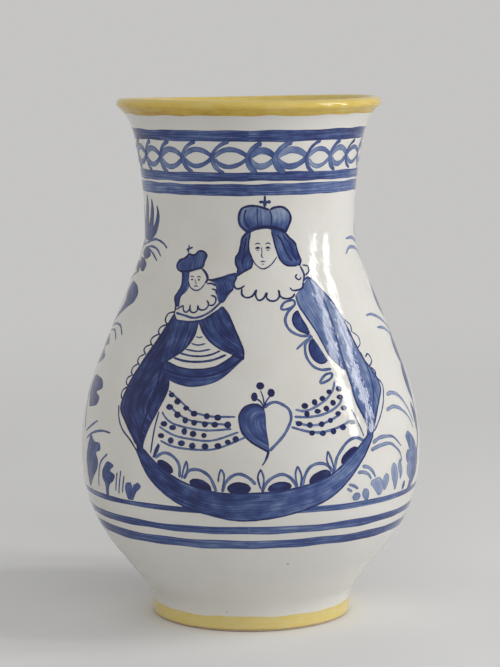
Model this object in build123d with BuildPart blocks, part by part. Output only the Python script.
import os
from math import acos, asin, atan2, cos, sin, tan

from build123d import *

# Glazed vase, in mm. The radii and heights are those of the finished surface, with its glaze on.
height = 280.0
foot_radius = 53.5
foot_wall = 6.0
belly_radius = 91.7
belly_height = 88.5
neck_radius = 56.1
neck_height = 210.0

# Side line: curves and straight runs between foot, belly, neck and lip
hollow_curve = 17.0
underside_run = 26.5
shoulder_run = 60.0
low_neck_curve = 49.0
high_neck_curve = 235.0
lip_reach = 23.0

# The mouth is wider than the neck by this share of the height above the neck
mouth_spread = 0.207

# Clay wall, base and foot ring
wall = 5.5
base = 7.0
floor_curve = 14.0
foot_ring_width = 11.0
recess_depth = 4.0
recess_curve = 2.5
foot_round = 1.2

# Coats: the glaze, and the cobalt that has sunk into it
glaze = 0.5
paint_depth = 0.25

# Yellow bands: the lip band is measured down from the rim, the foot band up from the floor
lip_band = 9.5
foot_band_top = 8.2
bare_foot = 1.5

# Cobalt rings of the neck: the top one is measured down from the rim, the middle one has its upper
# edge at a share of the way from the neck to the flare, and the bottom one follows below a gap
neck_top_drop = 17.1
neck_top_width = 5.8
neck_middle_share = 0.666
neck_middle_width = 4.7
neck_ring_gap = 1.3
neck_bottom_width = 5.9

# Cobalt rings of the belly, measured up from the floor
belly_top_rise = 70.3
belly_top_width = 2.9
belly_middle_rise = 59.5
belly_middle_width = 4.0
belly_bottom_rise = 51.0
belly_bottom_width = 4.8

full_wall = wall + 2 * glaze
floor_height = recess_depth + base + glaze
lip_line = height - lip_band
flare_line = height - lip_reach
mouth_radius = neck_radius + mouth_spread * (height - neck_height)
neck_top_edge = height - neck_top_drop
neck_middle_edge = neck_height + neck_middle_share * (flare_line - neck_height)
neck_bottom_edge = neck_middle_edge - neck_middle_width - neck_ring_gap


def normal(angle):
    return Vector(cos(angle), sin(angle))


def swelling_curve(run, widening, rise, hollow):
    # Radius of the swelling curve that meets a hollow curve across a straight run, both ends upright
    return (widening**2 + rise**2 - run**2) / (2 * widening) - hollow


def straight_normal(first, first_radius, second, second_radius):
    # Angle of the straight run that touches two curves; the radius of a hollow curve is negative
    across = second - first
    return atan2(across.Y, across.X) - acos((first_radius - second_radius) / across.length)


low_belly_curve = swelling_curve(
    underside_run, belly_radius - foot_radius, belly_height - foot_wall, hollow_curve
)
high_belly_curve = swelling_curve(
    shoulder_run, belly_radius - neck_radius, neck_height - belly_height, low_neck_curve
)

hollow_centre = Vector(foot_radius + hollow_curve, foot_wall)
low_belly_centre = Vector(belly_radius - low_belly_curve, belly_height)
high_belly_centre = Vector(belly_radius - high_belly_curve, belly_height)
low_neck_centre = Vector(neck_radius + low_neck_curve, neck_height)
high_neck_centre = Vector(neck_radius + high_neck_curve, neck_height)

underside_angle = straight_normal(hollow_centre, -hollow_curve, low_belly_centre, low_belly_curve)
shoulder_angle = straight_normal(high_belly_centre, high_belly_curve, low_neck_centre, -low_neck_curve)

# The lip turns out in one curve from the neck to the middle of its rounded edge
flare_angle = -asin((flare_line - neck_height) / high_neck_curve)
flare_normal = normal(flare_angle)
flare_start = high_neck_centre - flare_normal * (high_neck_curve + full_wall / 2)
lip_middle = Vector(mouth_radius - full_wall / 2, height - full_wall / 2)
lip_chord = lip_middle - flare_start
lip_curve = lip_chord.length**2 / (2 * lip_chord.dot(flare_normal))
lip_centre = flare_start + flare_normal * lip_curve
lip_normal = (lip_centre - lip_middle) / lip_curve
lip_angle = atan2(lip_normal.Y, lip_normal.X)

# Side line from the foot to the lip: centre, radius, first and last angle of each curve
foot_curve = (hollow_centre, -hollow_curve, 0, underside_angle)
upper_curves = [
    (low_belly_centre, low_belly_curve, underside_angle, 0),
    (high_belly_centre, high_belly_curve, 0, shoulder_angle),
    (low_neck_centre, -low_neck_curve, shoulder_angle, 0),
    (high_neck_centre, -high_neck_curve, 0, flare_angle),
    (lip_centre, full_wall / 2 - lip_curve, flare_angle, lip_angle),
]


def trace_curves(curves, start, depth):
    # Draws the curves at a depth below the finished outside, with straight runs where they stand apart
    end = start
    for centre, radius, first, last in curves:
        along = [centre + normal(angle) * (radius - depth) for angle in (first, (first + last) / 2, last)]
        if (along[0] - end).length > 1e-6:
            Line(end, along[0])
        ThreePointArc(*along)
        end = along[2]
    return end


def trace_outside(depth):
    # Outside of the vase from the floor to the edge of the lip
    return trace_curves([foot_curve] + upper_curves, Vector(foot_radius - depth, 0), depth)


def trace_inside(depth):
    # Inside of the vase, at a depth below its own glazed surface, from the middle of the floor to the lip
    inset = full_wall - depth
    low_end = low_belly_centre + normal(underside_angle) * (low_belly_curve - inset)
    floor_level = floor_height - depth
    corner = Vector(low_end.X + (low_end.Y - floor_level) * tan(underside_angle), floor_level)
    FilletPolyline((0, floor_level), corner, low_end, radius=floor_curve + depth)
    return trace_curves(upper_curves, low_end, inset)


def trace_wall(depth):
    # Closed half section of the whole vase, taken at a depth below its glazed surface
    outer_end = trace_outside(depth)
    inner_end = trace_inside(depth)
    crest = lip_middle - Vector(lip_normal.Y, -lip_normal.X) * (full_wall / 2 - depth)
    ThreePointArc(outer_end, crest, inner_end)
    Polyline((0, floor_height - depth), (0, 0), (foot_radius - depth, 0))


def outer_band(depth, low, high):
    # Half section of a coat on the outside, of the given depth, between two heights
    with BuildSketch() as band:
        with BuildLine():
            lip_end = trace_outside(0)
            Polyline(lip_end, (0, lip_end.Y), (0, 0), (foot_radius, 0))
        make_face()
        with BuildLine():
            lip_end = trace_outside(depth)
            Polyline(lip_end, (0, lip_end.Y), (0, 0), (foot_radius - depth, 0))
        make_face(mode=Mode.SUBTRACT)
        with Locations((0, (low + high) / 2)):
            Rectangle(4 * belly_radius, high - low, mode=Mode.INTERSECT)
    return band.sketch


neck_top_band = outer_band(paint_depth, neck_top_edge - neck_top_width, neck_top_edge)
neck_middle_band = outer_band(paint_depth, neck_middle_edge - neck_middle_width, neck_middle_edge)
neck_bottom_band = outer_band(paint_depth, neck_bottom_edge - neck_bottom_width, neck_bottom_edge)
belly_top_band = outer_band(paint_depth, belly_top_rise, belly_top_rise + belly_top_width)
belly_middle_band = outer_band(paint_depth, belly_middle_rise, belly_middle_rise + belly_middle_width)
belly_bottom_band = outer_band(paint_depth, belly_bottom_rise, belly_bottom_rise + belly_bottom_width)

# Thrown clay shell; the base is hollowed so that the vase stands on a turned foot ring
with BuildPart() as clay_body:
    with BuildSketch(Plane.XZ):
        with BuildLine():
            trace_wall(glaze)
        make_face()
        with BuildLine():
            foot_inner = foot_radius - glaze - foot_ring_width
            FilletPolyline(
                (0, recess_depth), (foot_inner, recess_depth), (foot_inner, 0), radius=recess_curve
            )
            Polyline((foot_inner, 0), (0, 0), (0, recess_depth))
        make_face(mode=Mode.SUBTRACT)
    revolve(axis=Axis.Z)
    fillet(clay_body.faces().sort_by(Axis.Z)[0].edges(), foot_round)

# Cobalt rings, flush with the white coat
with BuildPart() as neck_top_ring:
    with BuildSketch(Plane.XZ):
        add(neck_top_band)
    revolve(axis=Axis.Z)

with BuildPart() as neck_middle_ring:
    with BuildSketch(Plane.XZ):
        add(neck_middle_band)
    revolve(axis=Axis.Z)

with BuildPart() as neck_bottom_ring:
    with BuildSketch(Plane.XZ):
        add(neck_bottom_band)
    revolve(axis=Axis.Z)

with BuildPart() as belly_top_ring:
    with BuildSketch(Plane.XZ):
        add(belly_top_band)
    revolve(axis=Axis.Z)

with BuildPart() as belly_middle_ring:
    with BuildSketch(Plane.XZ):
        add(belly_middle_band)
    revolve(axis=Axis.Z)

with BuildPart() as belly_bottom_ring:
    with BuildSketch(Plane.XZ):
        add(belly_bottom_band)
    revolve(axis=Axis.Z)

# White coat on the outside, with the cobalt rings let into its surface
with BuildPart() as outer_white_glaze:
    with BuildSketch(Plane.XZ):
        add(outer_band(glaze, foot_band_top, lip_line))
    revolve(axis=Axis.Z)
    add(neck_top_ring.part, mode=Mode.SUBTRACT)
    add(neck_middle_ring.part, mode=Mode.SUBTRACT)
    add(neck_bottom_ring.part, mode=Mode.SUBTRACT)
    add(belly_top_ring.part, mode=Mode.SUBTRACT)
    add(belly_middle_ring.part, mode=Mode.SUBTRACT)
    add(belly_bottom_ring.part, mode=Mode.SUBTRACT)

# White coat on the inside, up to the yellow of the lip
with BuildPart() as inner_white_glaze:
    with BuildSketch(Plane.XZ):
        with BuildLine():
            lip_end = trace_inside(glaze)
            Polyline(lip_end, (0, lip_end.Y), (0, floor_height - glaze))
        make_face()
        with BuildLine():
            lip_end = trace_inside(0)
            Polyline(lip_end, (0, lip_end.Y), (0, floor_height))
        make_face(mode=Mode.SUBTRACT)
        with Locations((0, lip_line / 2)):
            Rectangle(4 * belly_radius, lip_line, mode=Mode.INTERSECT)
    revolve(axis=Axis.Z)

# Yellow coat over the lip, outside and inside
with BuildPart() as lip_yellow_glaze:
    with BuildSketch(Plane.XZ):
        with BuildLine():
            trace_wall(0)
        make_face()
        with BuildLine():
            trace_wall(glaze)
        make_face(mode=Mode.SUBTRACT)
        with Locations((0, lip_line + lip_band / 2)):
            Rectangle(4 * belly_radius, lip_band, mode=Mode.INTERSECT)
    revolve(axis=Axis.Z)

# Yellow coat round the foot, wiped off just above the floor
with BuildPart() as foot_yellow_glaze:
    with BuildSketch(Plane.XZ):
        add(outer_band(glaze, bare_foot, foot_band_top))
    revolve(axis=Axis.Z)

clay_body.part.label = "Clay body"
outer_white_glaze.part.label = "Outer white glaze"
inner_white_glaze.part.label = "Inner white glaze"
lip_yellow_glaze.part.label = "Yellow glaze of the lip"
foot_yellow_glaze.part.label = "Yellow glaze of the foot"
neck_top_ring.part.label = "Top ring of the neck"
neck_middle_ring.part.label = "Middle ring of the neck"
neck_bottom_ring.part.label = "Bottom ring of the neck"
belly_top_ring.part.label = "Top ring of the belly"
belly_middle_ring.part.label = "Middle ring of the belly"
belly_bottom_ring.part.label = "Bottom ring of the belly"

os.makedirs("parts", exist_ok=True)
export_step(clay_body.part, "parts/clay_body.step")
export_step(outer_white_glaze.part, "parts/outer_white_glaze.step")
export_step(inner_white_glaze.part, "parts/inner_white_glaze.step")
export_step(lip_yellow_glaze.part, "parts/lip_yellow_glaze.step")
export_step(foot_yellow_glaze.part, "parts/foot_yellow_glaze.step")
export_step(neck_top_ring.part, "parts/neck_top_ring.step")
export_step(neck_middle_ring.part, "parts/neck_middle_ring.step")
export_step(neck_bottom_ring.part, "parts/neck_bottom_ring.step")
export_step(belly_top_ring.part, "parts/belly_top_ring.step")
export_step(belly_middle_ring.part, "parts/belly_middle_ring.step")
export_step(belly_bottom_ring.part, "parts/belly_bottom_ring.step")
